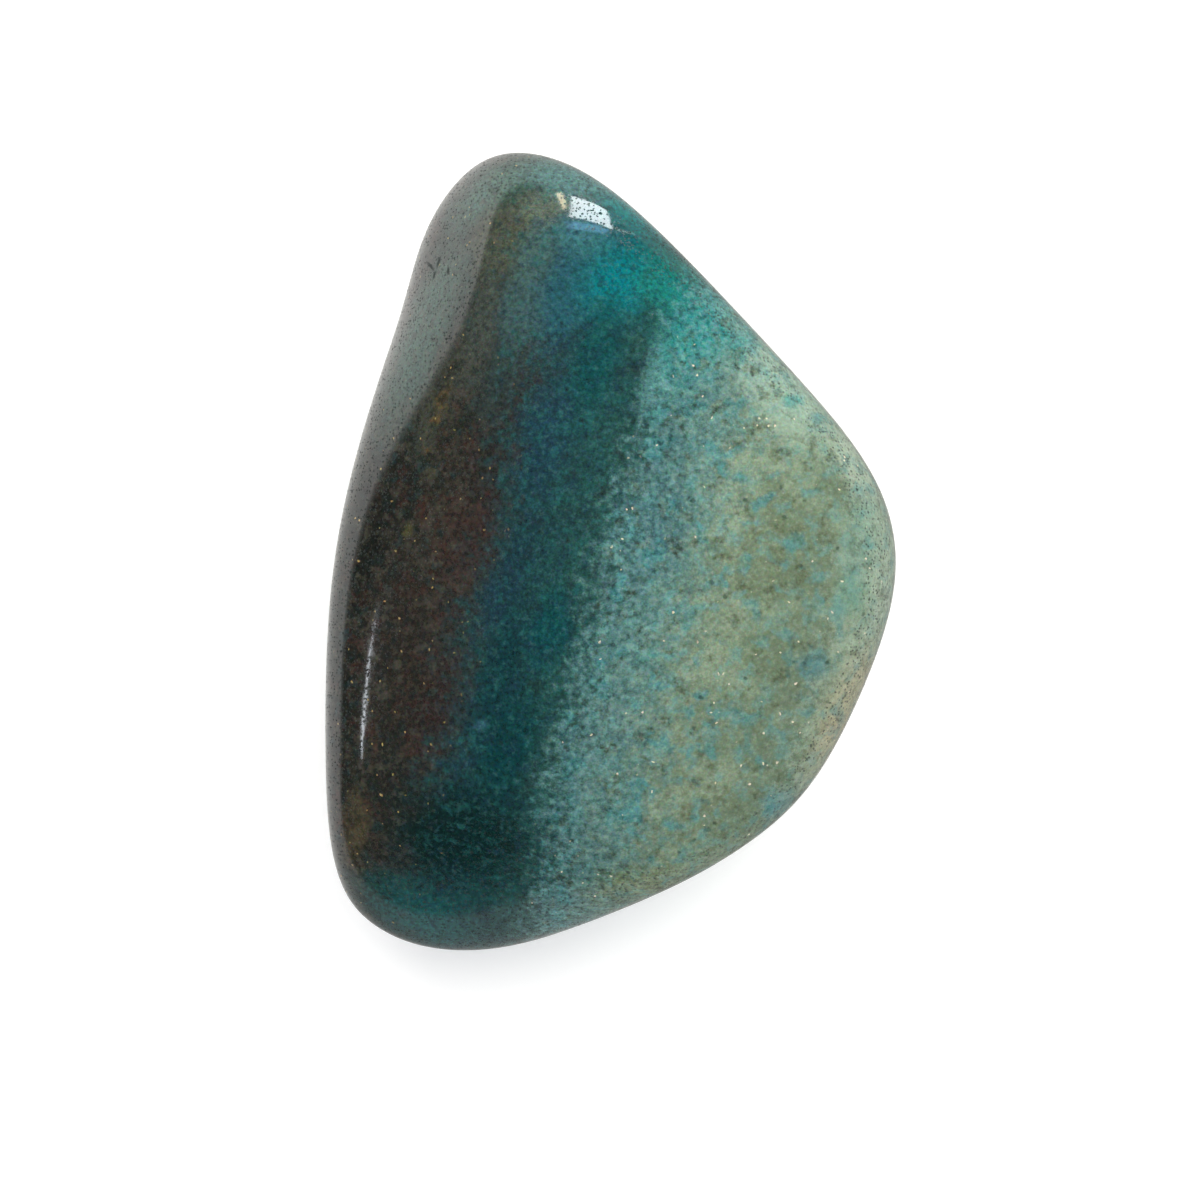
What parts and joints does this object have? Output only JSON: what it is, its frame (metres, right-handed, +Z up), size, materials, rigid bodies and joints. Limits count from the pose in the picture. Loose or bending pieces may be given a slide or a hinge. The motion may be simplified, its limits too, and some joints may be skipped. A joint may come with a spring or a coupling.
{
  "type": "tumbled trolleite stone",
  "caption": "Freeform tumbled and polished trolleite stone with a rounded three-sided outline, a domed front and a small flat spot underneath to lie on.",
  "frame": {"origin": "on the surface that the stone lies on, under the middle of the stone's box", "axes": "+Z up from the surface, +Y along the stone's length to its narrow tip, +X to the wide shoulder on its right"},
  "size_m": [0.0214, 0.03, 0.0145],
  "materials": {
    "polished_trolleite": "tumble-polished, glossy, slightly translucent, banded brown, blue, teal and pale green"
  },
  "bodies": {
    "root": {"trolleite_stone": "polished_trolleite"}
  },
  "joints": []
}
